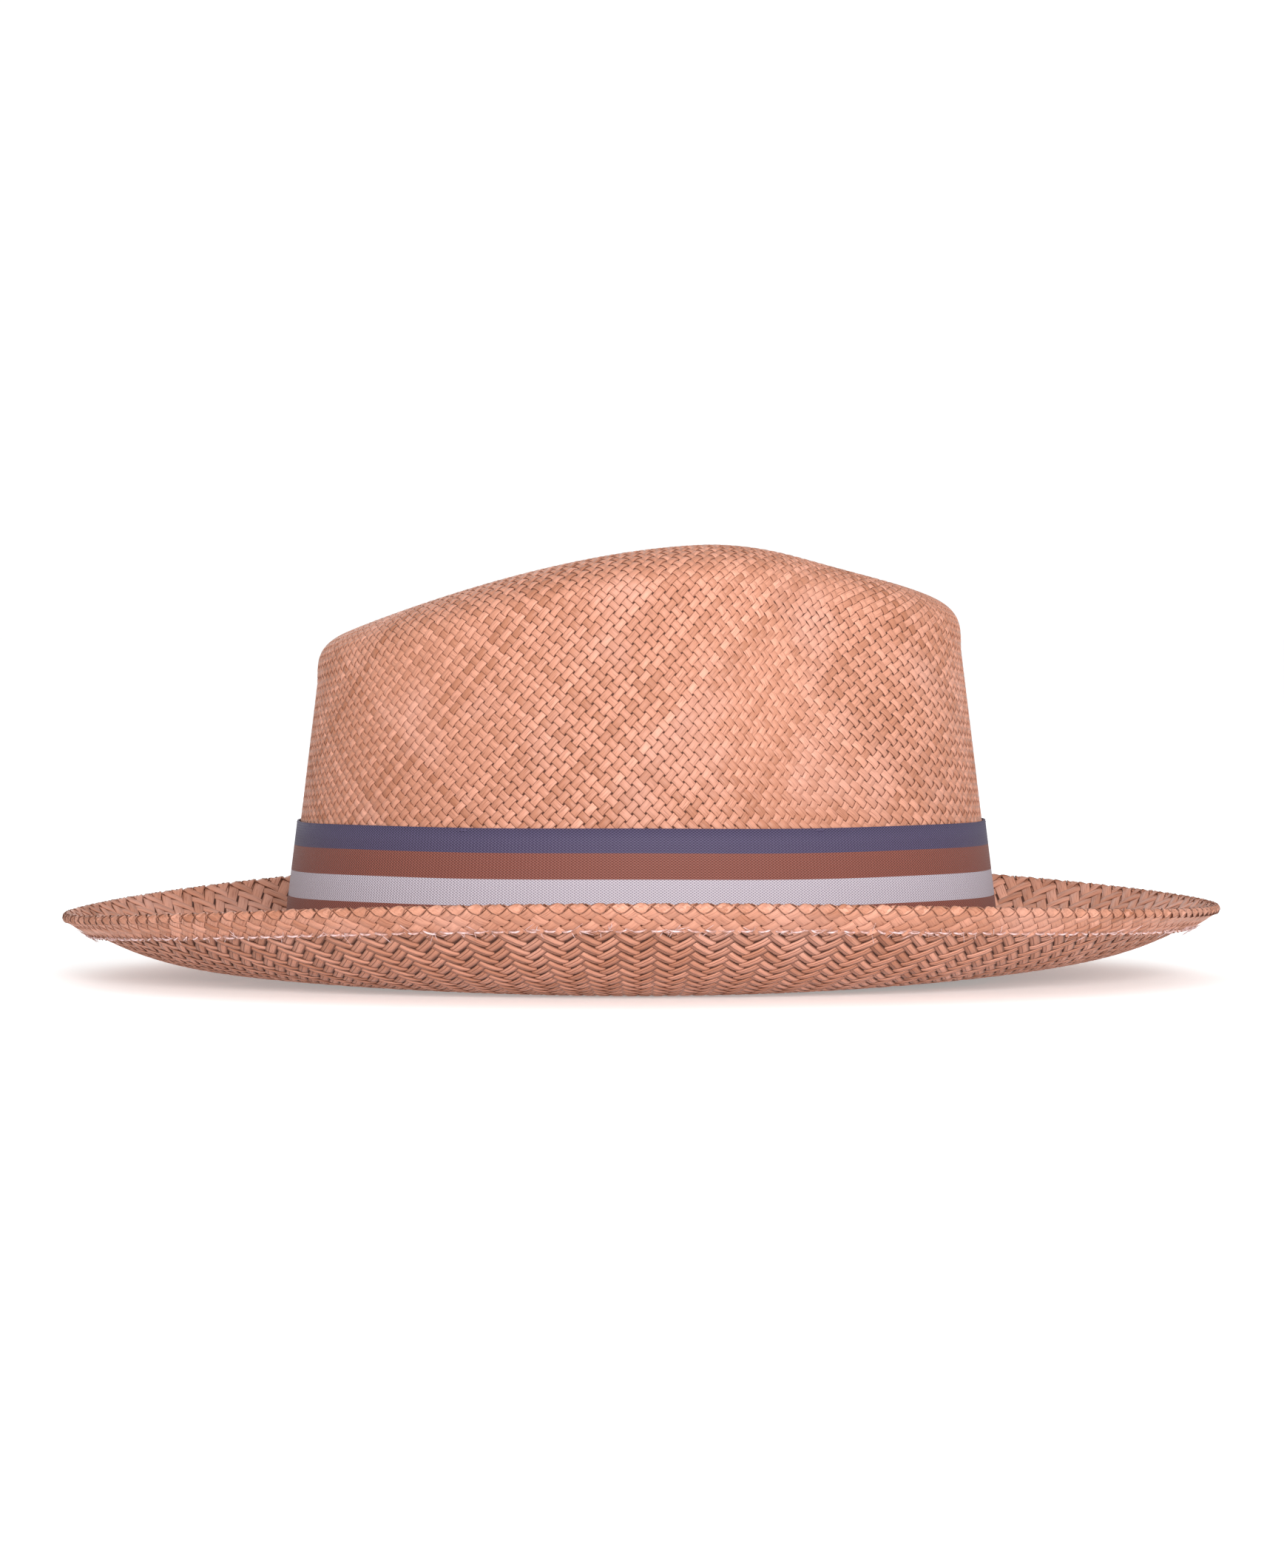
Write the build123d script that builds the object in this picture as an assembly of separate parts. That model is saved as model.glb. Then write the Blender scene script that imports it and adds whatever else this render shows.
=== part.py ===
"""Plaited straw fedora: teardrop crown, curled brim, striped band with a side bow, leather sweatband.

Millimetres. +X is the front of the hat, +Y the wearer's left, +Z up, and Z = 0 is the table.
The straw is one skin, so its outer face is one formula, surface(u, t). t is the angle about the
crown, from the front towards the wearer's left, and u runs from the middle of the crown's dent (0),
over the ridge (1), the shoulder (2), down the wall (2 to 3) and round the break (3 to 4) to the
brim's edge (5). Every other piece takes its place from that same face, at a named depth or clearance.
"""

from build123d import *
from math import cos, exp, hypot, pi, radians, sin, tan
import os

os.makedirs("parts", exist_ok=True)

# Crown and brim
CROWN_LENGTH = 210.0  # outside of the crown at its foot, front to back
CROWN_SPAN = 171.0  # the same, side to side
CROWN_HEIGHT = 125.8  # table to the top of the ridge
BRIM_LENGTH = 333.0  # across the brim's upper face, front to back
BRIM_SPAN = 287.0  # the same, side to side
STRAW = 1.2  # thickness of the plaited straw
HEM = 8.0  # width of the edge folded under the brim
OVAL_EGG = 0.03  # how much wider the oval is behind than in front
WALL_LEAN = radians(7.0)  # lean of the crown's wall
BREAK_RADIUS = 4.0  # turn from the wall into the brim
BREAK_LIFT = 3.2  # rise of the break at front and back above the sides
BREAK_TILT = 1.1  # how much more of it is at the front
SIDE_CURL = 28.0  # height of the brim's edge at the sides
FRONT_CURL = 21.5  # height of the brim's edge in front
BACK_CURL = 19.0  # height of the brim's edge behind
END_SWEEP = 2.5  # how late the brim turns up in front and behind
SIDE_SWEEP = 1.9  # how late it turns up at the sides
PEAK_X = 21.0  # the ridge is highest this far in front of the middle
FRONT_DROP = 18.5  # fall of the ridge from its peak to the front
BACK_DROP = 28.5  # fall of the ridge from its peak to the back
FRONT_FALL = 1.8  # how late it falls towards the front
BACK_FALL = 1.7  # how late it falls towards the back
SHOULDER = 11.5  # height of the rounding from the wall to the ridge
RIDGE_INSET = 0.27  # share of the way from the wall to the middle at which the ridge runs
END_INSET = 1.8  # how much nearer the wall it runs in front and behind
DENT_DEPTH = 16.0  # depth of the teardrop dent below the ridge
PINCH_DEPTH = 7.0  # depth of the two finger dents in front
PINCH_ANGLE = radians(48)  # where they are
PINCH_SPREAD = radians(20)  # how wide they are
PINCH_FOOT = 62.0  # height at which they start

# Thread, and the gap that a sewn piece keeps from what it lies on
THREAD = 0.5
FIT = 0.15

# Striped band round the crown, and its bow on the wearer's left
BAND_WIDTH = 36.0
RIBBON = 0.6  # thickness of one layer of ribbon
BAND_RISE = 0.5  # the band is level and starts this far above the highest part of the break
TACKS = 6  # stitches that hold the band's upper edge
TACK_LENGTH = 3.0
TACK_DOWN = 1.0  # their distance from the band's edge
BOW_LENGTH = 66.0
BOW_HEIGHT = 32.0
BOW_WAIST = 26.0  # height of the bow under its knot
LOOP = 2.6  # thickness of a loop: two layers of ribbon and the hollow between them
KNOT_WIDTH = 13.0
TAIL_LENGTH = 43.0  # from the middle of the bow to the tail's point
TAIL_SLANT = 12.0  # length of the slanted cut at its end

# Sweatband and what is sewn to it
SWEATBAND_HEIGHT = 34.0
LEATHER = 0.9
JOINT_GAP = 0.8  # butt joint of the sweatband, at the back
REED = 1.6  # thickness of the reed below the leather's edge
TAPE = 0.35  # cloth tape folded round the reed
TAPE_HEIGHT = 6.0
EDGE_STITCH = 2.0  # distance of the stitch line from the leather's lower edge
COVER_WIDTH = 12.0  # leather strip over the joint
COVER = 0.5
REAR_BOW_LENGTH = 22.0
REAR_BOW_HEIGHT = 6.0
REAR_BOW_WAIST = 3.0
REAR_BOW_RISE = 8.0
REAR_BOW = 1.0
TAB_LENGTH = 24.0  # blank size tab
TAB_HEIGHT = 14.0
TAB_RISE = 10.0
TAB = 0.3
TAB_PLACE = 34.0  # from the joint to the tab's middle

RING_POINTS = 40
CAP = 0.06  # the flat patch in the middle of the dent
STRIP_RINGS = (6, 4, 10, 3, 6)  # rings through dent, shoulder, wall, break and brim


def oval(t, half_length, half_span):
    """Point of an egg-shaped oval, wider behind than in front."""
    return half_length * cos(t), half_span * sin(t) * (1 - OVAL_EGG * cos(t))


def ease(x):
    """0 below 0, 1 above 1, and a smooth rise between."""
    x = min(1.0, max(0.0, x))
    return x * x * (3 - 2 * x)


def top_end():
    """Half the crown's length at the height of its ridge."""
    return CROWN_LENGTH / 2 - (CROWN_HEIGHT - BACK_DROP) * tan(WALL_LEAN)


def ridge_height(x):
    """Height of the ridge line above a place along the hat."""
    end = top_end()
    if x < PEAK_X:
        return CROWN_HEIGHT - BACK_DROP * ((PEAK_X - x) / (end + PEAK_X)) ** BACK_FALL
    return CROWN_HEIGHT - FRONT_DROP * ((x - PEAK_X) / (end - PEAK_X)) ** FRONT_FALL


def break_height(t):
    """Height of the brim's underside at the break."""
    return (BREAK_LIFT + BREAK_TILT * cos(t)) * cos(t) ** 2


def pinch(t, share):
    """How far the finger dents push the crown in."""
    away = abs((t + pi) % (2 * pi) - pi) - PINCH_ANGLE
    return PINCH_DEPTH * exp(-((away / PINCH_SPREAD) ** 2)) * share


def wall(t, z):
    """Point of the crown's outer wall at height z."""
    lean = (z - STRAW) * tan(WALL_LEAN)
    x, y = oval(t, CROWN_LENGTH / 2 - lean, CROWN_SPAN / 2 - lean)
    push = pinch(t, ease((z - PINCH_FOOT) / (CROWN_HEIGHT - SHOULDER - PINCH_FOOT)))
    reach = hypot(x, y)
    return Vector(x - push * x / reach, y - push * y / reach, z)


def top_height(t, inset):
    """Height of the ridge line over a place that is a share of the way in from the wall."""
    return ridge_height(top_end() * cos(t) * (1 - inset**END_INSET))


def shoulder_height(t):
    """Height at which the wall ends and the shoulder begins."""
    return top_height(t, 0) - SHOULDER


def tip(t, inset, drop):
    """Point of the crown's top, a share of the way in from the wall and a drop below the ridge."""
    edge = wall(t, shoulder_height(t))
    x = edge.X * (1 - inset**END_INSET)
    return Vector(x, edge.Y * (1 - inset), top_height(t, inset) - drop)


def break_point(t, turn):
    """Point of the quarter turn from the wall into the brim."""
    foot = break_height(t) + STRAW + BREAK_RADIUS
    start = wall(t, foot)
    out = BREAK_RADIUS * (1 - cos(turn))
    x, y = oval(t, 1.0, CROWN_SPAN / CROWN_LENGTH)
    reach = hypot(x, y)
    down = BREAK_RADIUS * sin(turn)
    return Vector(start.X + out * x / reach, start.Y + out * y / reach, foot - down)


def brim(t, share):
    """Point of the brim's upper face, a share of the way from the break to the edge."""
    start = break_point(t, pi / 2)
    x, y = oval(t, BRIM_LENGTH / 2, BRIM_SPAN / 2)
    end_curl = (FRONT_CURL + BACK_CURL) / 2 + (FRONT_CURL - BACK_CURL) / 2 * cos(t)
    curl = SIDE_CURL + (end_curl - SIDE_CURL) * cos(t) ** 2
    sweep = END_SWEEP + (SIDE_SWEEP - END_SWEEP) * sin(t) ** 2
    z = start.Z + (curl - start.Z) * share**sweep
    return Vector(start.X + (x - start.X) * share, start.Y + (y - start.Y) * share, z)


def surface(u, t):
    """The straw's outer face, from the middle of the dent to the brim's edge."""
    if u <= 1:
        return tip(t, 1 - u * (1 - RIDGE_INSET), DENT_DEPTH * (1 + cos(pi * u)) / 2)
    if u <= 2:
        turn = (2 - u) * pi / 2
        return tip(t, RIDGE_INSET * (1 - cos(turn)), SHOULDER * (1 - sin(turn)))
    if u <= 3:
        foot = break_height(t) + STRAW + BREAK_RADIUS
        return wall(t, shoulder_height(t) + (foot - shoulder_height(t)) * (u - 2))
    if u <= 4:
        return break_point(t, (u - 3) * pi / 2)
    return brim(t, u - 4)


def outward(u, t):
    """Unit vector square to the straw's outer face, and the one along it away from the crown."""
    step = 1e-3
    low, high = max(u - step, 0.0), min(u + step, 5.0)
    along = (surface(high, t) - surface(low, t)).normalized()
    around = (surface(u, t + step) - surface(u, t - step)).normalized()
    return along.cross(around).normalized(), along


def skin(u, t, depth):
    """Point at a depth below the straw's outer face."""
    return surface(u, t) - outward(u, t)[0] * depth


def angles(count=RING_POINTS):
    return [2 * pi * i / count for i in range(count)]


def loop(points):
    """Closed smooth curve through a ring of points."""
    return Wire([Edge.make_spline(points, periodic=True)])


def ring(u, depth):
    return loop([skin(u, t, depth) for t in angles()])


def level_ring(u, depth):
    """A ring whose height is evened out, so that a flat face closes it."""
    points = [skin(u, t, depth) for t in angles()]
    z = sum(p.Z for p in points) / len(points)
    return loop([Vector(p.X, p.Y, z) for p in points])


def edge_ring(turn):
    """Ring on the rounded fold of the brim's edge, from the upper face (0) to the lower (pi)."""
    points = []
    for t in angles():
        square, along = outward(5, t)
        points.append(surface(5, t) + along * STRAW * sin(turn) - square * STRAW * (1 - cos(turn)))
    return loop(points)


def between(rings, ruled=False):
    return list(Shell.make_loft(rings, ruled=ruled).faces())


def strip(first, last, depth, parts):
    """Face of the straw from one ring to another, through evenly spaced rings between them."""
    start, end = first[0], last[0]
    mids = [ring(start + (end - start) * i / parts, depth) for i in range(1, parts)]
    return between([first[1], *mids, last[1]])


def stations(depth, hem_start):
    """The rings at which the straw's faces join, each with its place on the surface."""
    places = (1, 2, 3, 4, hem_start)
    return [(CAP, level_ring(CAP, depth))] + [(u, ring(u, depth)) for u in places]


def straw_body():
    """Crown and brim plaited as one skin, with the edge folded under to a hem of two layers."""
    hem_start = 5 - 2 * HEM / (BRIM_LENGTH - CROWN_LENGTH)
    top, under = stations(0, 5), stations(STRAW, hem_start)
    faces = [Face(top[0][1]), Face(under[0][1])]
    for parts, upper, lower in zip(STRIP_RINGS, range(5), range(5)):
        faces += strip(top[upper + 1], top[upper], 0, parts)
        faces += strip(under[lower], under[lower + 1], STRAW, parts)
    fold = [top[-1][1]] + [edge_ring(turn * pi / 4) for turn in (1, 2, 3, 4)]
    hem_ring = (hem_start, ring(hem_start, 2 * STRAW))
    faces += between(fold)
    faces += strip((5, fold[-1]), hem_ring, 2 * STRAW, 2)
    faces += between([hem_ring[1], under[-1][1]], ruled=True)
    return Solid(Shell(faces))


def inner_foot(t):
    """Height from which the pieces inside the crown rise: the break, which dips at the sides."""
    return break_height(t) + STRAW + BREAK_RADIUS


def band_foot(t):
    """Height from which the band and the bow rise: level, at the highest part of the break."""
    return STRAW + BREAK_RADIUS + BREAK_LIFT + BREAK_TILT


def corner(t, rise, out):
    """Point at a rise above the foot and a distance out from the crown's outer wall."""
    foot = band_foot(t) if out > 0 else inner_foot(t)
    return wall(t, foot + rise) + outward(2.9, t)[0] * out


def hoop(section):
    """Closed ring round the crown, with a section given as corners of rise and distance out."""
    rings = [loop([corner(t, rise, out) for t in angles()]) for rise, out in section]
    faces = []
    for here, there in zip(rings, rings[1:] + rings[:1]):
        faces += between([here, there], ruled=True)
    return Solid(Shell(faces))


def box_section(low, high, inner, outer):
    return [(low, inner), (low, outer), (high, outer), (high, inner)]


def patch(sections):
    """Solid that lies along the crown's wall, through boxes of angle, rise and distance out."""
    outlines = []
    for t, low, high, inner, outer in sections:
        points = [corner(t, rise, out) for rise, out in box_section(low, high, inner, outer)]
        outlines.append(Wire.make_polygon(points, close=True))
    return Solid.make_loft(outlines)


def side_angle(distance):
    """Angle at a distance behind the middle of the wearer's left side."""
    return pi / 2 + distance / (CROWN_LENGTH / 2)


def back_angle(distance):
    """Angle at a distance past the middle of the back, towards the wearer's right."""
    return pi + distance / (CROWN_SPAN / 2)


def spread(start, end, parts):
    return [start + (end - start) * i / parts for i in range(parts + 1)]


# Levels out from the crown's wall, each resting on the one before
band_back = 2 * FIT
band_face = band_back + RIBBON
tail_back = band_face + FIT
tail_face = tail_back + RIBBON
loop_back = tail_face + FIT
loop_face = loop_back + LOOP
knot_face = loop_face + FIT + RIBBON
band_top = BAND_RISE + BAND_WIDTH
band_middle = BAND_RISE + BAND_WIDTH / 2

# Levels inwards from it
tape_back = -(STRAW + FIT)
tape_face = tape_back - TAPE
leather_back = tape_face - FIT - THREAD
leather_face = leather_back - LEATHER
cover_back = leather_face - FIT
cover_face = cover_back - COVER


def hem_thread():
    """Thread that holds the folded hem, along the hem's inner edge under the brim."""
    width = THREAD / ((BRIM_LENGTH - CROWN_LENGTH) / 2)
    start = 5 - 2 * (HEM - 2 * THREAD) / (BRIM_LENGTH - CROWN_LENGTH)
    near, far = 2 * STRAW + FIT, 2 * STRAW + FIT + THREAD
    section = [(start, near), (start, far), (start + width, far), (start + width, near)]
    rings = [ring(u, depth) for u, depth in section]
    faces = []
    for here, there in zip(rings, rings[1:] + rings[:1]):
        faces += between([here, there], ruled=True)
    return Solid(Shell(faces))


def hat_band():
    """Striped ribbon sewn round the foot of the crown."""
    return hoop(box_section(BAND_RISE, band_top, band_back, band_face))


def band_tacks():
    """Short stitches that hold the band's upper edge to the straw."""
    tacks = []
    high = band_top - TACK_DOWN
    for i in range(TACKS):
        middle = 2 * pi * i / TACKS
        half = TACK_LENGTH / (CROWN_LENGTH + CROWN_SPAN) * 2
        box = (high - THREAD, high, band_face + FIT, band_face + FIT + THREAD)
        tacks.append(patch([(t, *box) for t in spread(middle - half, middle + half, 2)]))
    return Compound(tacks)


def bow_section(distance, wide, thick):
    """Section of the bow's loops at a distance from its middle."""
    return (side_angle(distance), band_middle - wide / 2, band_middle + wide / 2, loop_back, thick)


def bow_loops():
    """Two flat loops of the same ribbon, gathered under the knot."""
    half = BOW_LENGTH / 2
    gathered = KNOT_WIDTH / 2 / half
    sections = []
    for share in (-1, -0.9, -0.6, -gathered, 0, gathered, 0.6, 0.9, 1):
        wide = BOW_WAIST + (BOW_HEIGHT - BOW_WAIST) * ease((abs(share) - gathered) * 1.5)
        thick = loop_face - LOOP * (0.35 if abs(share) == 1 else 0)
        sections.append(bow_section(half * share, wide, thick))
    return patch(sections)


def bow_knot():
    """Strip of ribbon wrapped once round the middle of the loops."""
    low, high = band_middle - BOW_WAIST / 2 - 3 * FIT, band_middle + BOW_WAIST / 2 + 3 * FIT
    places = [side_angle(d) for d in spread(-KNOT_WIDTH / 2, KNOT_WIDTH / 2, 2)]
    outside = patch([(t, low - RIBBON, high + RIBBON, tail_back, knot_face) for t in places])
    past = [side_angle(d) for d in spread(-KNOT_WIDTH, KNOT_WIDTH, 2)]
    return outside - patch([(t, low, high, tail_face, loop_face + FIT) for t in past])


def bow_tail():
    """One tail that comes out behind the rear loop, cut on a slant."""
    low, high = band_middle - BOW_HEIGHT / 2, band_middle + BOW_HEIGHT / 2
    start = KNOT_WIDTH / 2 + FIT
    slant = TAIL_LENGTH - TAIL_SLANT
    box = (low, high, tail_back, tail_face)
    strip_part = patch([(side_angle(d), *box) for d in spread(start, slant, 4)])
    end = [(side_angle(slant), *box), (side_angle(TAIL_LENGTH), low, low + 2, tail_back, tail_face)]
    return strip_part + patch(end)


def sweatband():
    """Leather band inside the crown, its ends meeting at the back."""
    band = hoop(box_section(0, SWEATBAND_HEIGHT, leather_face, leather_back))
    joint = Box(CROWN_LENGTH, JOINT_GAP, CROWN_HEIGHT, align=(Align.MAX, Align.CENTER, Align.MIN))
    return band - joint


def sweatband_reed():
    """Round reed that keeps the sweatband's lower edge firm."""
    middle = (-REED / 2 - FIT, tape_face - FIT - REED / 2)
    turns = [2 * pi * i / 8 for i in range(8)]
    return hoop([(middle[0] - REED / 2 * cos(a), middle[1] + REED / 2 * sin(a)) for a in turns])


def reed_tape():
    """Cloth tape folded round the reed, with its long leg between the leather and the straw."""
    foot = -2 * FIT - REED - FIT
    inside = tape_face - 2 * FIT - REED
    top, lip = TAPE_HEIGHT, -FIT / 2
    outer = [(top, tape_face), (foot, tape_face), (foot, inside), (lip, inside)]
    inner = [(lip, inside - TAPE), (foot - TAPE, inside - TAPE), (foot - TAPE, tape_back)]
    return hoop(outer + inner + [(top, tape_back)])


def attachment_thread():
    """Thread that sews the tape, and with it the sweatband, to the straw."""
    low = TAPE_HEIGHT / 2
    return hoop(box_section(low, low + THREAD, tape_face - FIT / 2 - THREAD, tape_face - FIT / 2))


def edge_thread():
    """Thread that sews the leather's lower edge to the tape, as it shows inside the hat."""
    box = (EDGE_STITCH, EDGE_STITCH + THREAD, leather_face - FIT - THREAD, leather_face - FIT)
    return hoop(box_section(*box))


def joint_cover():
    """Thin leather strip over the sweatband's joint."""
    low, high = EDGE_STITCH + THREAD + FIT, SWEATBAND_HEIGHT
    places = [back_angle(d) for d in spread(-COVER_WIDTH / 2, COVER_WIDTH / 2, 4)]
    return patch([(t, low, high, cover_face, cover_back) for t in places])


def rear_bow():
    """Small flat bow that marks the back of the sweatband."""
    sections = []
    back = cover_face - FIT
    for share in (-1, -0.5, 0, 0.5, 1):
        wide = REAR_BOW_WAIST + (REAR_BOW_HEIGHT - REAR_BOW_WAIST) * ease(abs(share) * 1.4)
        t = back_angle(REAR_BOW_LENGTH / 2 * share)
        sections.append((t, REAR_BOW_RISE - wide / 2, REAR_BOW_RISE + wide / 2, back - REAR_BOW, back))
    return patch(sections)


def size_tab():
    """Blank size tab sewn to the sweatband beside its joint."""
    middle = -TAB_PLACE
    places = [back_angle(d) for d in spread(middle - TAB_LENGTH / 2, middle + TAB_LENGTH / 2, 4)]
    return patch([(t, TAB_RISE, TAB_RISE + TAB_HEIGHT, cover_back - TAB, cover_back) for t in places])


PIECES = {
    "straw_body": straw_body,
    "hem_thread": hem_thread,
    "hat_band": hat_band,
    "band_tacks": band_tacks,
    "bow_loops": bow_loops,
    "bow_knot": bow_knot,
    "bow_tail": bow_tail,
    "sweatband": sweatband,
    "sweatband_reed": sweatband_reed,
    "reed_tape": reed_tape,
    "attachment_thread": attachment_thread,
    "edge_thread": edge_thread,
    "joint_cover": joint_cover,
    "rear_bow": rear_bow,
    "size_tab": size_tab,
}

for name, make in PIECES.items():
    export_step(make(), f"parts/{name}.step")
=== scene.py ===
import bpy
import numpy as np
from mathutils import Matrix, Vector


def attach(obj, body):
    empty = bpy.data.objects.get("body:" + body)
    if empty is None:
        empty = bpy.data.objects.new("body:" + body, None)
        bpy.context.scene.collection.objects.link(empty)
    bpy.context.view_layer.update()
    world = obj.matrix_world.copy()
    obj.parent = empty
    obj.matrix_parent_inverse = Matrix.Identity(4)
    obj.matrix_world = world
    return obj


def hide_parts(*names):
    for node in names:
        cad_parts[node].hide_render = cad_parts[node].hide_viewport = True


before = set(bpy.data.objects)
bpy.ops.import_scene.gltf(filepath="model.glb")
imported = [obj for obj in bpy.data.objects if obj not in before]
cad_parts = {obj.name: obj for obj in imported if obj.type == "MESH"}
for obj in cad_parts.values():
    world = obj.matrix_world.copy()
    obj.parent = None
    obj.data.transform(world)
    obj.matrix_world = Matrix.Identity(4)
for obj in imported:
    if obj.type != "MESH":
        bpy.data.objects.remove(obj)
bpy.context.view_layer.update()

# Camera, floor and light
# The hat stands on a faintly lit white table, seen from the wearer's right, almost level with its brim.
# One broad soft light stands beside the camera and the white room fills the shadows.
AIM = Vector((0.0002, 0, 0.0564))
DISTANCE = 1.727
RISE = np.radians(1.6)
FRAME_HEIGHT = 0.458

camera = bpy.data.objects.new("camera", bpy.data.cameras.new("camera"))
bpy.context.collection.objects.link(camera)
camera.data.sensor_fit = "VERTICAL"
camera.data.sensor_height = 36
camera.data.lens = 36 * DISTANCE / FRAME_HEIGHT
camera.location = AIM + DISTANCE * Vector((0, -np.cos(RISE), np.sin(RISE)))
camera.rotation_euler = (AIM - camera.location).to_track_quat("-Z", "Y").to_euler()
bpy.context.scene.camera = camera
bpy.context.scene.view_settings.view_transform = "Standard"


def shader(name, colour, roughness):
    """New material, with its nodes, its links and its main shader."""
    made = bpy.data.materials.new(name)
    made.use_nodes = True
    main = made.node_tree.nodes["Principled BSDF"]
    main.inputs["Base Color"].default_value = (*colour, 1)
    main.inputs["Roughness"].default_value = roughness
    return made, made.node_tree.nodes, made.node_tree.links, main


bpy.ops.object.select_all(action="DESELECT")
bpy.ops.mesh.primitive_plane_add(size=60, location=(0, 0, 0))
floor = bpy.context.object
floor.name = "floor"
table, _, _, glow = shader("white_table", (0.92, 0.92, 0.92), 0.9)
glow.inputs["Emission Color"].default_value = (1, 1, 1, 1)
glow.inputs["Emission Strength"].default_value = 0.3
floor.data.materials.append(table)

world = bpy.data.worlds.new("white_room")
world.use_nodes = True
room = world.node_tree.nodes["Background"]
room.inputs["Color"].default_value = (1, 1, 1, 1)
seen = world.node_tree.nodes.new("ShaderNodeLightPath")
brightness = world.node_tree.nodes.new("ShaderNodeMapRange")
brightness.inputs["To Min"].default_value = 0.78
brightness.inputs["To Max"].default_value = 1.05
world.node_tree.links.new(seen.outputs["Is Camera Ray"], brightness.inputs["Value"])
world.node_tree.links.new(brightness.outputs["Result"], room.inputs["Strength"])
bpy.context.scene.world = world


def soft_light(name, place, size, power):
    """Square soft light that faces the hat."""
    light = bpy.data.objects.new(name, bpy.data.lights.new(name, "AREA"))
    bpy.context.collection.objects.link(light)
    light.data.size = size
    light.data.energy = power
    light.location = place
    light.rotation_euler = (AIM - light.location).to_track_quat("-Z", "Y").to_euler()


soft_light("soft_front", Vector((0.3, -2.1, 0.5)), 0.7, 50)
soft_light("soft_back", Vector((-0.6, 1.9, 0.9)), 0.9, 4)

# Straw body: the form
# The hat is blocked from one plaited skin, so every piece takes its place from one outer face.
# surface(u, t) gives it: u runs from the dent (0) over ridge, shoulder and wall to the brim's edge (5).
STRAW = 0.0012
HALF_CROWN = np.array([0.105, 0.0855])
CROWN_TOP = 0.1258
HALF_BRIM = np.array([0.1665, 0.1435])
HEM = 0.008
EGG = 0.03
LEAN = np.tan(np.radians(7))
BREAK, BREAK_LIFT, BREAK_TILT = 0.004, 0.0032, 0.0011
CURL_SIDE, CURL_FRONT, CURL_BACK = 0.028, 0.0215, 0.019
SHOULDER = 0.0115
INSET = 0.27
PEAK = 0.021
FRONT_DROP, BACK_DROP = 0.0185, 0.0285
FRONT_FALL, BACK_FALL = 1.8, 1.7
END_ROUNDING = 1.8
DENT_DEPTH = 0.016
PINCH_DEPTH, PINCH_FOOT = 0.007, 0.062
PINCH_PLACE, PINCH_SPREAD = np.radians(48), np.radians(20)
END_SWEEP, SIDE_SWEEP = 2.5, 1.9
TOP_END = HALF_CROWN[0] - (CROWN_TOP - BACK_DROP) * LEAN


def oval(t, half):
    return half[0] * np.cos(t), half[1] * np.sin(t) * (1 - EGG * np.cos(t))


def break_height(t):
    return (BREAK_LIFT + BREAK_TILT * np.cos(t)) * np.cos(t) ** 2 + STRAW + BREAK


def top_height(t, inset):
    x = TOP_END * np.cos(t) * (1 - inset**END_ROUNDING)
    back = BACK_DROP * (np.maximum(PEAK - x, 0) / (TOP_END + PEAK)) ** BACK_FALL
    front = FRONT_DROP * (np.maximum(x - PEAK, 0) / (TOP_END - PEAK)) ** FRONT_FALL
    return CROWN_TOP - back - front


def wall(t, z):
    lean = (z - STRAW) * LEAN
    x, y = oval(t, (HALF_CROWN[0] - lean, HALF_CROWN[1] - lean))
    rise = np.clip((z - PINCH_FOOT) / (CROWN_TOP - SHOULDER - PINCH_FOOT), 0, 1)
    away = (np.abs((t + np.pi) % (2 * np.pi) - np.pi) - PINCH_PLACE) / PINCH_SPREAD
    push = 1 - PINCH_DEPTH * np.exp(-away**2) * rise * rise * (3 - 2 * rise) / np.hypot(x, y)
    return np.stack([x * push, y * push, z + 0 * x], -1)


def tip(t, inset, drop):
    edge = wall(t, top_height(t, 0 * t) - SHOULDER)
    flat = np.stack([edge[..., 0] * (1 - inset**END_ROUNDING), edge[..., 1] * (1 - inset)], -1)
    return np.concatenate([flat, (top_height(t, inset) - drop)[..., None]], -1)


def break_point(t, turn):
    point = wall(t, break_height(t))
    x, y = oval(t, HALF_CROWN / HALF_CROWN[0])
    out = BREAK * (1 - np.cos(turn)) / np.hypot(x, y)
    return point + np.stack([x * out, y * out, -BREAK * np.sin(turn)], -1)


def brim(t, share):
    start = break_point(t, np.pi / 2 + 0 * t)
    x, y = oval(t, HALF_BRIM)
    ends = (CURL_FRONT + CURL_BACK) / 2 + (CURL_FRONT - CURL_BACK) / 2 * np.cos(t)
    curl = CURL_SIDE + (ends - CURL_SIDE) * np.cos(t) ** 2
    height = (curl - start[..., 2]) * share ** (END_SWEEP + (SIDE_SWEEP - END_SWEEP) * np.sin(t) ** 2)
    flat = np.stack([x - start[..., 0], y - start[..., 1]], -1) * share[..., None]
    return start + np.concatenate([flat, height[..., None]], -1)


def surface(u, t):
    u, t = np.broadcast_arrays(np.asarray(u, float), np.asarray(t, float))
    dent, turn = np.clip(u, 0, 1), (2 - np.clip(u, 1, 2)) * np.pi / 2
    shoulder = top_height(t, 0 * t) - SHOULDER
    parts = [
        tip(t, 1 - dent * (1 - INSET), DENT_DEPTH * (1 + np.cos(np.pi * dent)) / 2),
        tip(t, INSET * (1 - np.cos(turn)), SHOULDER * (1 - np.sin(turn))),
        wall(t, shoulder + (break_height(t) - shoulder) * (np.clip(u, 2, 3) - 2)),
        break_point(t, (np.clip(u, 3, 4) - 3) * np.pi / 2),
        brim(t, np.clip(u - 4, 0, 1)),
    ]
    return np.choose(np.clip(np.ceil(u), 1, 5).astype(int)[..., None] - 1, parts)


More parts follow.
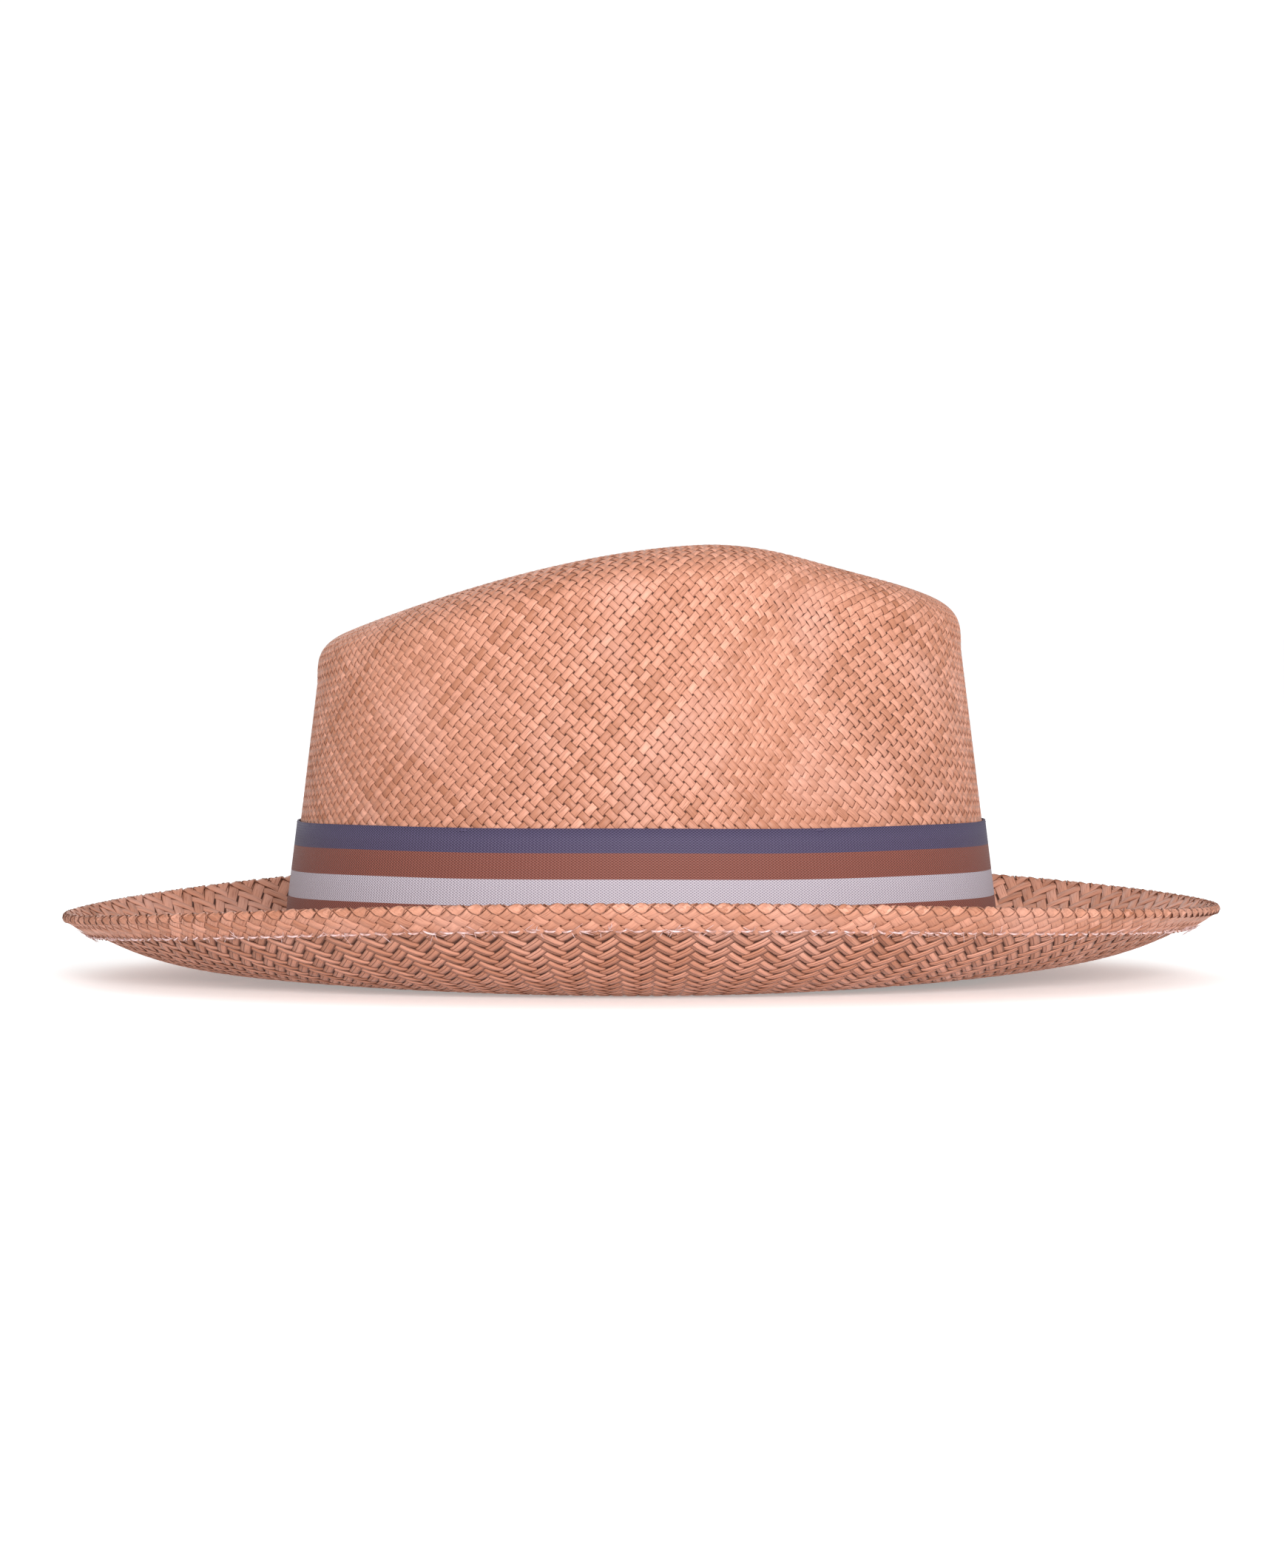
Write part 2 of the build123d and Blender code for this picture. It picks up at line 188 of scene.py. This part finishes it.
def facing(u, t):
    """Unit vectors square to the outer face and along it, away from the middle of the crown."""
    step = 1e-3
    along = surface(np.clip(u + step, 0, 5), t) - surface(np.clip(u - step, 0, 5), t)
    around = surface(u, t + step) - surface(u, t - step)
    square = np.cross(along, around)
    square /= np.linalg.norm(square, axis=-1, keepdims=True)
    return square, along / np.linalg.norm(along, axis=-1, keepdims=True)


def make_mesh(name, points, faces, material, uvs=None, tone=None):
    """New piece from points and quads, smooth, with its own map and tone where they are given."""
    mesh = bpy.data.meshes.new(name)
    faces = np.asarray(faces, np.int32)
    mesh.vertices.add(len(points))
    mesh.vertices.foreach_set("co", np.asarray(points, np.float32).ravel())
    mesh.loops.add(faces.size)
    mesh.loops.foreach_set("vertex_index", faces.ravel())
    mesh.polygons.add(len(faces))
    mesh.polygons.foreach_set("loop_start", np.arange(0, faces.size, faces.shape[1], dtype=np.int32))
    mesh.update(calc_edges=True)
    mesh.polygons.foreach_set("use_smooth", np.ones(len(faces), bool))
    for label, values in (uvs or {}).items():
        layer = mesh.uv_layers.new(name=label)
        layer.data.foreach_set("uv", np.asarray(values, np.float32)[faces.ravel()].ravel())
    if tone is not None:
        mesh.attributes.new("tone", "FLOAT", "POINT").data.foreach_set("value", tone.astype(np.float32))
    mesh.materials.append(material)
    piece = bpy.data.objects.new(name, mesh)
    bpy.context.collection.objects.link(piece)
    return piece


def grid_faces(rows, columns, closed_rows=False, closed_columns=False):
    """Quads of a grid of points, row by row, closed on itself where asked."""
    i = np.arange(rows if closed_rows else rows - 1)[:, None]
    j = np.arange(columns if closed_columns else columns - 1)[None, :]
    a, b = i * columns + j, i * columns + (j + 1) % columns
    c, d = ((i + 1) % rows) * columns + (j + 1) % columns, ((i + 1) % rows) * columns + j
    return np.stack([a, b, c, d], -1).reshape(-1, 4)


# Straw body: the plait
# Flat dyed palm straws, each a closed strip that passes over and under those it crosses.
# Crown one over one, brim two over two and larger, with the edge turned under as a hem.
rng = np.random.default_rng(11)
straw, nodes, links, main = shader("dyed_straw", (0.7, 0.35, 0.24), 0.42)
main.inputs["Specular IOR Level"].default_value = 0.22
strand_map = nodes.new("ShaderNodeUVMap")
strand_map.uv_map = "strand"
tone = nodes.new("ShaderNodeAttribute")
tone.attribute_name = "tone"
place = nodes.new("ShaderNodeTexCoord")


def noise(source, stretch, scale, detail=3):
    """Noise along a stretched copy of a set of coordinates."""
    mapping = nodes.new("ShaderNodeMapping")
    mapping.inputs["Scale"].default_value = stretch
    links.new(source, mapping.inputs["Vector"])
    texture = nodes.new("ShaderNodeTexNoise")
    texture.inputs["Scale"].default_value = scale
    texture.inputs["Detail"].default_value = detail
    links.new(mapping.outputs["Vector"], texture.inputs["Vector"])
    return texture.outputs["Fac"]


def mixed(low, high, factor, blend="MIX"):
    """Colour between two others, each a colour or a socket."""
    mix = nodes.new("ShaderNodeMix")
    mix.data_type = "RGBA"
    mix.blend_type = blend
    for socket, value in ((mix.inputs[6], low), (mix.inputs[7], high), (mix.inputs[0], factor)):
        if isinstance(value, bpy.types.NodeSocket):
            links.new(value, socket)
        else:
            socket.default_value = value
    return mix.outputs[2]


def between(value, low, high, to_low=0.0, to_high=1.0):
    """A value's range stretched to another, and held at its ends."""
    node = nodes.new("ShaderNodeMapRange")
    links.new(value, node.inputs["Value"])
    ends = (low, high, to_low, to_high)
    for label, number in zip(("From Min", "From Max", "To Min", "To Max"), ends):
        node.inputs[label].default_value = number
    return node.outputs["Result"]


def bumped(height, strength, distance):
    """Relief on the main shader."""
    bump = nodes.new("ShaderNodeBump")
    bump.inputs["Strength"].default_value = strength
    bump.inputs["Distance"].default_value = distance
    links.new(height, bump.inputs["Height"])
    links.new(bump.outputs["Normal"], main.inputs["Normal"])


fibres = noise(strand_map.outputs["UV"], (9, 0.35, 1), 1.6, 4)
patches = noise(place.outputs["Object"], (1, 1, 1), 42)
base = mixed((0.34, 0.135, 0.075, 1), (0.62, 0.30, 0.21, 1), tone.outputs["Fac"])
base = mixed(base, (0.20, 0.065, 0.035, 1), between(fibres, 0.50, 0.68, 0, 0.6))
base = mixed(base, (0.62, 0.34, 0.27, 1), between(patches, 0.52, 0.72, 0, 0.4))
# Painted shade: each straw darkens towards its long edges, standing in for the shade that falls between
# neighbouring straws.
across = nodes.new("ShaderNodeSeparateXYZ")
links.new(strand_map.outputs["UV"], across.inputs["Vector"])
edge_shade = nodes.new("ShaderNodeMath")
edge_shade.operation = "PINGPONG"
edge_shade.inputs[1].default_value = 0.5
links.new(across.outputs["X"], edge_shade.inputs[0])
base = mixed((0.10, 0.03, 0.015, 1), base, between(edge_shade.outputs["Value"], 0.0, 0.22, 0.08, 1))
links.new(base, main.inputs["Base Color"])
links.new(between(fibres, 0.3, 0.7, 0.36, 0.58), main.inputs["Roughness"])
bumped(fibres, 0.35, 0.00012)

# Dark material for a sheet inside the plait: painted shadow that shows through the gaps between the
# straws.
gap_shadow = shader("straw_shadow", (0.07, 0.022, 0.012), 0.9)[0]
AROUND = 720
QUARTER, QUARTER_SPREAD = 0.8, 0.45


def profile(stations):
    """Sheet of points and normals down the hat through given stations, closed round the crown."""
    t = np.linspace(0, 2 * np.pi, AROUND, endpoint=False)
    u = np.asarray(stations, float)[:, None]
    square, along = facing(u, t)
    return surface(u, t), square, along


def plait(name, sheet, count, twill=False, swing=0.0, thick=0.00023, pieces=1, slack=0.91, selvage=0):
    """Plaits a sheet with two crossing sets of straws, as closed strips in a few pieces."""
    points, square = sheet
    steps = np.linalg.norm(np.diff(points, axis=0), axis=-1).mean(1)
    around = np.linalg.norm(np.roll(points, -1, 1) - points, axis=-1).sum(1)
    density = 2 * count / ((around[1:] + around[:-1]) / 2)
    level = np.concatenate([[0], np.cumsum(steps * density)])
    rows = int(level[-1])
    fine = np.arange(0, rows * 3 + 1) / 3
    depth_index = np.interp(fine, level, np.arange(len(level)))
    half_width = slack * np.interp(fine, level, around) / count / np.sqrt(2) / 2
    section = np.array([(-0.5, -0.2), (-0.41, 0.85), (0.0, 1.0), (0.41, 0.85), (0.5, -0.2), (0.0, -0.9)])
    made = []
    for share in range(pieces):
        strips, tones, strand_uv, bake_uv = [], [], [], []
        own = range(share * count // pieces, (share + 1) * count // pieces)
        for order, (k, hand) in enumerate([(k, hand) for k in own for hand in (1, -1)]):
            angle = 2 * np.pi / count * (k + hand * fine / 2)
            bend = swing * np.sin(np.pi * np.clip(fine / rows, 0, 1)) ** 2
            from_quarter = np.abs((angle + np.pi) % (2 * np.pi) - np.pi) - QUARTER
            angle = angle + bend * np.exp(-((from_quarter / QUARTER_SPREAD) ** 2)) * np.sign(np.sin(angle))
            column = (angle / (2 * np.pi) * AROUND) % AROUND
            i, j = np.minimum(depth_index.astype(int), len(points) - 2), column.astype(int) % AROUND
            a, b = (depth_index - i)[:, None], (column - column.astype(int))[:, None]
            n = (j + 1) % AROUND

            def at(sheet_values):
                low = sheet_values[i, j] * (1 - b) + sheet_values[i, n] * b
                high = sheet_values[i + 1, j] * (1 - b) + sheet_values[i + 1, n] * b
                return low * (1 - a) + high * a

            middle, up = at(points), at(square)
            up /= np.linalg.norm(up, axis=1, keepdims=True)
            ahead = np.gradient(middle, axis=0)
            ahead /= np.linalg.norm(ahead, axis=1, keepdims=True)
            side = np.cross(up, ahead)
            wave = hand * np.cos(np.pi * fine)
            if twill:
                pairs = hand * np.clip(1.5 * np.cos(np.pi / 2 * (2 * k + hand * fine - 0.5)), -1, 1)
                wave = np.where(fine < rows - selvage, pairs, wave)
            own_slack = half_width * (1 + rng.normal(0, 0.03))
            centre = middle + up * (-STRAW / 2 + 0.00027 * wave)[:, None]
            lift = up * thick
            tilt = rng.normal(0, 0.05)
            ring = [
                centre + side * (x * 2 * own_slack)[:, None] + lift * (z + tilt * x)
                for x, z in section
            ]
            strips.append(np.stack(ring, 1))
            shade = np.clip(rng.normal(0.5, 0.2), 0, 1)
            tones.append(np.full(len(fine) * 6, shade))
            grid_v = np.repeat(fine[:, None], 6, 1) + 37 * rng.random()
            grid_u = np.repeat(np.array([[0.0, 0.2, 0.5, 0.8, 1.0, 1.5]]), len(fine), 0)
            strand_uv.append(np.stack([grid_u + int(40 * rng.random()), grid_v], -1).reshape(-1, 2))
            lane = (order + 0.1 + 0.8 * np.arange(6)[None, :] / 6) / (2 * len(own))
            bake = np.stack(np.broadcast_arrays(fine[:, None] / rows, lane), -1)
            bake_uv.append(bake.reshape(-1, 2))
        size = len(fine) * 6
        faces = grid_faces(len(fine), 6, closed_columns=True)
        ends = np.array([(0, 1, 2, 5), (2, 3, 4, 5)])
        faces = np.concatenate([faces, ends, size - 6 + ends[:, ::-1]])[:, ::-1]
        every = (faces[None] + size * np.arange(len(strips))[:, None, None]).reshape(-1, 4)
        label = f"{name}_{share + 1}"
        uvs = {"strand": np.concatenate(strand_uv), "OFBake": np.concatenate(bake_uv)}
        points_made = np.concatenate(strips).reshape(-1, 3)
        made.append(make_mesh(label, points_made, every, straw, uvs, np.concatenate(tones)))
    return made


crown_stations = np.concatenate([np.linspace(0.93, 2, 40), np.linspace(2.02, 3.6, 120)])
crown_sheet = profile(crown_stations)[:2]
body = plait("straw_crown", crown_sheet, 156, False, swing=0.16, pieces=6)

# Straw body: the crown's tip
# The plait starts in the middle of the tip, and rounds of new straws are set in as it grows.
TIP_ROUNDS = (
    (0.97, 0.78, 124), (0.80, 0.62, 102), (0.64, 0.48, 80), (0.50, 0.37, 62), (0.39, 0.28, 48),
    (0.30, 0.21, 36), (0.23, 0.15, 26), (0.165, 0.10, 18), (0.115, 0.05, 12), (0.065, 0.003, 8),
)
for number, (outer, inner, count) in enumerate(TIP_ROUNDS):
    tip_points, tip_square, _ = profile(np.linspace(inner, outer, 24))
    tip_points = tip_points - tip_square * 0.00018 * (number % 2)
    body += plait(f"straw_tip_{number + 1}", (tip_points, tip_square), count, slack=1.12)

# Straw body: brim and hem
# The brim's straws run out to the edge, round it and back under as the second layer of the hem.
hem_start = 5 - HEM / (HALF_BRIM[0] - HALF_CROWN[0])
top_points, top_square, top_along = profile(np.linspace(3.55, 5, 90))
edge, edge_square, edge_along = top_points[-1], top_square[-1], top_along[-1]
turns = np.linspace(0, np.pi, 13)[1:, None, None]
fold_points = edge + edge_along * STRAW * np.sin(turns) - edge_square * STRAW * (1 - np.cos(turns))
fold_square = edge_along * np.sin(turns) + edge_square * np.cos(turns)
back_points, back_square, _ = profile(np.linspace(5, hem_start, 12)[1:])
hem_sheet = (
    np.concatenate([top_points, fold_points, back_points - back_square * 2 * STRAW]),
    np.concatenate([top_square, fold_square, -back_square]),
)
body += plait("straw_brim", hem_sheet, 188, True, thick=0.00026, pieces=5, slack=0.95, selvage=4)

# A dark sheet through the middle of the straw layer, under the whole body: painted shadow seen through the
# pinholes between the straws.
core_t = np.linspace(0, 2 * np.pi, 360, endpoint=False)
core_u = [np.linspace(0.002, 2, 50), np.linspace(2.1, 3, 16), np.linspace(3.2, 4.93, 40)]
core_u = np.concatenate(core_u)[:, None]
core_square = facing(core_u, core_t)[0]
core_top = surface(core_u, core_t) - core_square * STRAW * 0.44
core_low = surface(core_u, core_t) - core_square * STRAW * 0.56
core_points = np.concatenate([core_top, core_low[::-1]])
core_faces = grid_faces(len(core_points), 360, closed_rows=True, closed_columns=True)
body.append(make_mesh("straw_shadow_sheet", core_points.reshape(-1, 3), core_faces, gap_shadow))
for piece in body:
    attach(piece, "root")
    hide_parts("straw_body")

# Hem stitching
# Clear thread in a running stitch along the hem's inner edge, with frayed ends of straw caught in it.
# It replaces the plain hoop of thread, stitch by stitch.
thread, nodes, links, main = shader("clear_thread", (0.62, 0.42, 0.42), 0.3)
main.inputs["Sheen Weight"].default_value = 0.3
place = nodes.new("ShaderNodeTexCoord")
spots = noise(place.outputs["Object"], (1, 1, 1), 700)
frosted = mixed((0.42, 0.21, 0.17, 1), (0.66, 0.47, 0.47, 1), between(spots, 0.4, 0.6))
links.new(frosted, main.inputs["Base Color"])


def face_out(piece):
    """Turns every face of a closed piece outward."""
    bpy.context.view_layer.objects.active = piece
    piece.select_set(True)
    bpy.ops.object.mode_set(mode="EDIT")
    bpy.ops.mesh.select_all(action="SELECT")
    bpy.ops.mesh.normals_make_consistent(inside=False)
    bpy.ops.object.mode_set(mode="OBJECT")
    piece.select_set(False)


def thread_pieces(name, paths, radius, material):
    """Closed square lengths of thread, one for each path of points, thinner at both ends."""
    strips, faces, start = [], [], 0
    for path in paths:
        path = np.asarray(path, float)
        count = len(path)
        ahead = np.gradient(path, axis=0)
        ahead /= np.linalg.norm(ahead, axis=1, keepdims=True)
        side = np.cross(ahead, (0.31, 0.17, 0.93))
        side /= np.linalg.norm(side, axis=1, keepdims=True)
        up = np.cross(side, ahead)
        size = radius * np.clip(np.sin(np.linspace(0.25, np.pi - 0.25, count)) * 1.8, 0.4, 1)
        ring = [path + size[:, None] * (side * x + up * y) for x, y in ((1, 0), (0, 1), (-1, 0), (0, -1))]
        strips.append(np.stack(ring, 1).reshape(-1, 3))
        faces.append(start + grid_faces(count, 4, closed_columns=True)[:, ::-1])
        faces.append([[start, start + 1, start + 2, start + 3]])
        end = start + 4 * (count - 1)
        faces.append([[end + 3, end + 2, end + 1, end]])
        start += 4 * count
    piece = make_mesh(name, np.concatenate(strips), np.concatenate(faces), material)
    face_out(piece)
    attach(piece, "root")
    return piece


def on_hem(u, t, lift):
    """Point on the hem's lower face, a little way off it."""
    point, square = surface(u, t), facing(u, t)[0]
    return point - square * (2 * STRAW + np.asarray(lift, float))[..., None]


hem_paths = []
STITCHES = 210
for i in range(STITCHES):
    t = 2 * np.pi * (i + np.linspace(0.06, 0.74 + rng.normal(0, 0.05), 7)) / STITCHES
    u = hem_start + 0.022 + 0.005 * rng.normal() * np.linspace(-1, 1, 7)
    bow = np.sin(np.linspace(0, np.pi, 7)) * 0.00035
    hem_paths.append(on_hem(u, t, bow + 0.00005))
for i in range(420):
    t0, u0 = 2 * np.pi * rng.random(), hem_start + 0.01 + 0.02 * rng.random()
    t = t0 + np.linspace(0, 0.012 * rng.normal(), 5)
    u = u0 + np.linspace(0, 0.025 * rng.normal(), 5)
    hem_paths.append(on_hem(u, t, 0.0002 + np.linspace(0, 0.0004 * rng.random(), 5)))
stitches = thread_pieces("hem_stitches", hem_paths[:STITCHES], 0.00026, thread)
frays = thread_pieces("hem_frays", hem_paths[STITCHES:], 0.00009, thread)
for piece in (stitches, frays):
    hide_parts("hem_thread")

# Striped band
# Woven ribbon in five stripes, navy, rust, silver, rust and navy, with fine upright ribs.
# It is drawn tight round the foot of the crown.
ribbon, nodes, links, main = shader("striped_ribbon", (0.1, 0.08, 0.15), 0.55)
main.inputs["Specular IOR Level"].default_value = 0.2
weave_map = nodes.new("ShaderNodeUVMap")
weave_map.uv_map = "weave"
split = nodes.new("ShaderNodeSeparateXYZ")
links.new(weave_map.outputs["UV"], split.inputs["Vector"])


def math(operation, first, second=0.0):
    """One sum on two numbers or sockets."""
    node = nodes.new("ShaderNodeMath")
    node.operation = operation
    for socket, value in zip(node.inputs, (first, second)):
        if isinstance(value, bpy.types.NodeSocket):
            links.new(value, socket)
        else:
            socket.default_value = value
    return node.outputs["Value"]


RIB = 1.05
STRIPES = ((0.0, (0.068, 0.053, 0.105)), (0.194, (0.205, 0.064, 0.044)), (0.397, (0.44, 0.395, 0.44)))
STRIPES += ((0.603, (0.205, 0.064, 0.044)), (0.806, (0.068, 0.053, 0.105)))
stripe = nodes.new("ShaderNodeValToRGB")
stripe.color_ramp.interpolation = "CONSTANT"
while len(stripe.color_ramp.elements) < len(STRIPES):
    stripe.color_ramp.elements.new(1)
for element, (start, colour) in zip(stripe.color_ramp.elements, STRIPES):
    element.position = start
    element.color = (*colour, 1)
links.new(math("DIVIDE", split.outputs["Y"], 36.0), stripe.inputs["Fac"])
ribs = math("SINE", math("MULTIPLY", split.outputs["X"], 2 * np.pi / RIB))
picks = math("SINE", math("MULTIPLY", split.outputs["Y"], 2 * np.pi / 0.74))
grain = math("MULTIPLY", ribs, picks)
lit = mixed(stripe.outputs["Color"], (0.16, 0.15, 0.2, 1), between(grain, 0.1, 1, 0, 0.2), "ADD")
shaded = mixed(lit, (0.25, 0.24, 0.3, 1), between(grain, -0.8, 0.1, 0.8, 0), "MULTIPLY")
links.new(shaded, main.inputs["Base Color"])
bumped(math("ADD", grain, math("MULTIPLY", ribs, 0.6)), 0.5, 0.00012)

BAND_FOOT = STRAW + BREAK + BREAK_LIFT + BREAK_TILT
BAND_LOW, BAND_TOP = 0.0005, 0.0365


def on_wall(t, rise, out, foot=None):
    """Point out from the crown's wall, at a rise above the level foot of the band."""
    t, rise, out = np.broadcast_arrays(*(np.asarray(v, float) for v in (t, rise, out)))
    base = BAND_FOOT if foot is None else foot(t)
    return wall(t, base + rise) + facing(2.9, t)[0] * out[..., None]


def ribbon_strip(name, centre, wide, half, material, ends=True, cut=False):
    """Strip of ribbon along a line of (angle, rise, out), as a closed thin solid with its own map."""
    t, rise, out = (np.asarray(v, float) for v in centre)
    rows = np.linspace(-0.5, 0.5, 9)[None, :] * np.broadcast_to(wide, t.shape)[:, None]
    normal = np.stack([np.gradient(out), -np.gradient(t) * HALF_CROWN[0]], 1)
    normal /= np.linalg.norm(normal, axis=1, keepdims=True)
    layers = []
    for sign in (1, -1):
        shift_out = (out - sign * half * normal[:, 1])[:, None] + 0 * rows
        shift_t = (t + sign * half * normal[:, 0] / HALF_CROWN[0])[:, None] + 0 * rows
        layers.append(on_wall(shift_t, rise[:, None] + rows, shift_out))
    points = np.concatenate([layers[0], layers[1][:, ::-1]], 1)
    count, around = points.shape[:2]
    walk = np.concatenate([[0], np.cumsum(np.linalg.norm(np.diff(layers[0][:, 4], axis=0), axis=1))])
    whole = walk[-1] + np.linalg.norm(layers[0][0, 4] - layers[0][-1, 4])
    stretch = round(whole * 1000 / RIB) * RIB / whole
    walk, whole = walk * stretch, whole * stretch
    down = np.concatenate([np.linspace(0, 36, 9), np.linspace(36, 0, 9)])
    down = np.broadcast_to(down, points.shape[:2])
    if cut:
        level = 18 - (rise[:, None] + rows - middle_rise) * 1000
        down = np.concatenate([level, level[:, ::-1]], 1)
    weave = np.stack(np.broadcast_arrays(walk[:, None], down), -1).reshape(-1, 2)
    faces = grid_faces(count, around, closed_rows=not ends, closed_columns=True)
    if ends:
        caps = [[j, j + 1, around - 2 - j, around - 1 - j] for j in range(8)]
        faces = np.concatenate([faces, np.array(caps)[:, ::-1], (count - 1) * around + np.array(caps)])
    piece = make_mesh(name, points.reshape(-1, 3), faces, material, {"weave": weave})
    if not ends:
        layer = piece.data.uv_layers["weave"].data
        values = np.zeros(len(layer) * 2, np.float32)
        layer.foreach_get("uv", values)
        values.reshape(-1, 4, 2)[(count - 1) * around:, 2:, 0] = whole
        layer.foreach_set("uv", values)
    face_out(piece)
    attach(piece, "root")
    return piece


RIBBON_HALF = 0.0003
band_t = np.linspace(0, 2 * np.pi, 640, endpoint=False)
middle_rise = (BAND_LOW + BAND_TOP) / 2
waver = 0.00012 * np.sin(3 * band_t + 1) + 0.0001 * np.sin(7 * band_t)
band_line = (band_t, middle_rise + waver, 0.0006 + 0 * band_t)
band = ribbon_strip("striped_band", band_line, BAND_TOP - BAND_LOW, RIBBON_HALF, ribbon, ends=False)
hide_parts("hat_band")

# Bow
# Made from the same ribbon on the wearer's left: two flat loops from one folded length, gathered
# under a knot that wraps them once, and a tail behind with its end cut on a slant.


def side_angle(distance):
    return np.pi / 2 + np.asarray(distance) / HALF_CROWN[0]


THIN = 0.00026
LOOP_BACK, LOOP_FRONT, LOOP_REACH = 0.00205, 0.00415, 0.029
TURN_REACH, TURN_BULGE = 0.0305, 0.0016
KNOT_REACH, KNOT_TALL = 0.0063, 0.0140
TAIL_START, TAIL_END, TAIL_WIDE = 0.0068, 0.0428, 0.032
turns = np.linspace(-np.pi / 2, np.pi / 2, 9)
middle_out, loop_half = (LOOP_BACK + LOOP_FRONT) / 2, (LOOP_FRONT - LOOP_BACK) / 2
run = np.linspace(-LOOP_REACH, LOOP_REACH, 25)
bulge = TURN_REACH + TURN_BULGE * np.cos(turns)
front_run = np.abs(run[::-1])
pillow = 0.0004 * np.sin(front_run / LOOP_REACH * np.pi) - 0.0006 * (front_run < 0.005)
path_d = np.concatenate([run, bulge, run[::-1], -bulge])
path_o = np.concatenate([
    0 * run + LOOP_BACK, middle_out + loop_half * np.sin(turns),
    LOOP_FRONT + pillow, middle_out - loop_half * np.sin(turns),
])
gather = np.clip((np.abs(path_d) - 0.0065) / 0.02, 0, 1)
loop_line = (side_angle(path_d), middle_rise + 0 * path_d, path_o)
loop_wide = 0.0262 + 0.0056 * gather * (2 - gather)
loops = ribbon_strip("bow_loops_folded", loop_line, loop_wide, THIN, ribbon, ends=False)
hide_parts("bow_loops")

tail_d = np.linspace(TAIL_START, TAIL_END, 40)
slant = np.clip((tail_d - 0.031) / 0.012, 0, 1)
tail_wide = TAIL_WIDE - 0.030 * slant
tail_rise = middle_rise - TAIL_WIDE / 2 + tail_wide / 2
tail_line = (side_angle(tail_d), tail_rise, 0.00135 + 0 * tail_d)
tail = ribbon_strip("bow_tail_cut", tail_line, tail_wide, THIN, ribbon, cut=True)
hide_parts("bow_tail")

knot_section = [
    (-1, 0.0011), (-1, 0.0050), (-0.9, 0.0054), (0, 0.0056),
    (0.9, 0.0054), (1, 0.0050), (1, 0.0011), (0, 0.0010),
]
knot_d = np.linspace(-KNOT_REACH, KNOT_REACH, 15)
knot_t, knot_folds = side_angle(knot_d), 0.00016 * np.cos(knot_d * 1500)
outer = [
    on_wall(knot_t, middle_rise + s * KNOT_TALL, out + knot_folds * (out > 0.0052))
    for s, out in knot_section
]
inner = [
    on_wall(knot_t, middle_rise + s * (KNOT_TALL - 0.0005), min(max(out, 0.0015), 0.0049))
    for s, out in knot_section
]
knot_points = np.concatenate([np.stack(outer, 1), np.stack(inner, 1)[::-1]])
knot_faces = grid_faces(30, 8, closed_rows=True, closed_columns=True)
weave = np.broadcast_arrays(np.arange(8)[None] * 6.0, 10 + np.arange(30)[:, None] * 0.9)
weave = np.stack(weave, -1).reshape(-1, 2)
knot = make_mesh("bow_knot_wrap", knot_points.reshape(-1, 3), knot_faces, ribbon, {"weave": weave})
face_out(knot)
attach(knot, "root")
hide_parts("bow_knot")

# Sweatband
# Tan leather, its lower edge sewn to a cotton tape that is folded round a reed, and its ends
# meeting at the back under a strip of the same leather. The sewing shows as single stitches.
leather, nodes, links, main = shader("sweatband_leather", (0.30, 0.13, 0.06), 0.5)
place = nodes.new("ShaderNodeTexCoord")
pores = noise(place.outputs["Object"], (1, 1, 1), 900, 6)
wear = noise(place.outputs["Object"], (1, 1, 1), 25)
worn = mixed((0.24, 0.10, 0.045, 1), (0.40, 0.19, 0.10, 1), between(wear, 0.35, 0.65))
links.new(worn, main.inputs["Base Color"])
links.new(between(pores, 0.3, 0.7, 0.38, 0.6), main.inputs["Roughness"])
bumped(pores, 0.4, 0.0002)

woven, nodes, links, main = shader("woven_tape", (0.45, 0.36, 0.27), 0.85)
place = nodes.new("ShaderNodeTexCoord")
threads = noise(place.outputs["Object"], (1, 1, 4), 1200, 2)
links.new(mixed((0.36, 0.28, 0.20, 1), (0.56, 0.47, 0.36, 1), threads), main.inputs["Base Color"])
bumped(threads, 0.5, 0.0002)

rust, nodes, links, main = shader("rust_ribbon", (0.26, 0.07, 0.04), 0.6)
place = nodes.new("ShaderNodeTexCoord")
cords = noise(place.outputs["Object"], (1, 1, 0.2), 1500, 2)
links.new(mixed((0.20, 0.05, 0.03, 1), (0.33, 0.10, 0.06, 1), cords), main.inputs["Base Color"])
bumped(cords, 0.5, 0.0002)

tan = shader("tan_thread", (0.42, 0.24, 0.13), 0.7)[0]
navy = shader("navy_thread", (0.10, 0.08, 0.16), 0.7)[0]
FINISHES = {
    "sweatband": leather, "joint_cover": leather, "reed_tape": woven, "size_tab": woven,
    "rear_bow": rust, "attachment_thread": tan, "sweatband_reed": woven,
}
for node, finish in FINISHES.items():
    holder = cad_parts[node]
    for slot_number in range(len(holder.data.materials)):
        holder.data.materials[slot_number] = finish

tack_paths = []
for middle in np.arange(6) * np.pi / 3:
    t = middle + np.linspace(-0.0015, 0.0015, 6) / HALF_CROWN[0]
    tack_paths.append(on_wall(t, BAND_TOP - 0.0007, 0.0009 + 0.0001 * np.sin(np.linspace(0, np.pi, 6))))
tacks = thread_pieces("tack_stitches", tack_paths, 0.00014, navy)
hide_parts("band_tacks")

edge_paths = []
EDGE_STITCHES = 170
for i in range(EDGE_STITCHES):
    t = 2 * np.pi * (i + np.linspace(0.1, 0.8, 6)) / EDGE_STITCHES
    bow = 0.00025 * np.sin(np.linspace(0, np.pi, 6))
    edge_paths.append(on_wall(t, 0.00225, -0.00345 - bow, break_height))
edge_stitches = thread_pieces("edge_stitches", edge_paths, 0.0002, tan)
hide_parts("edge_thread")
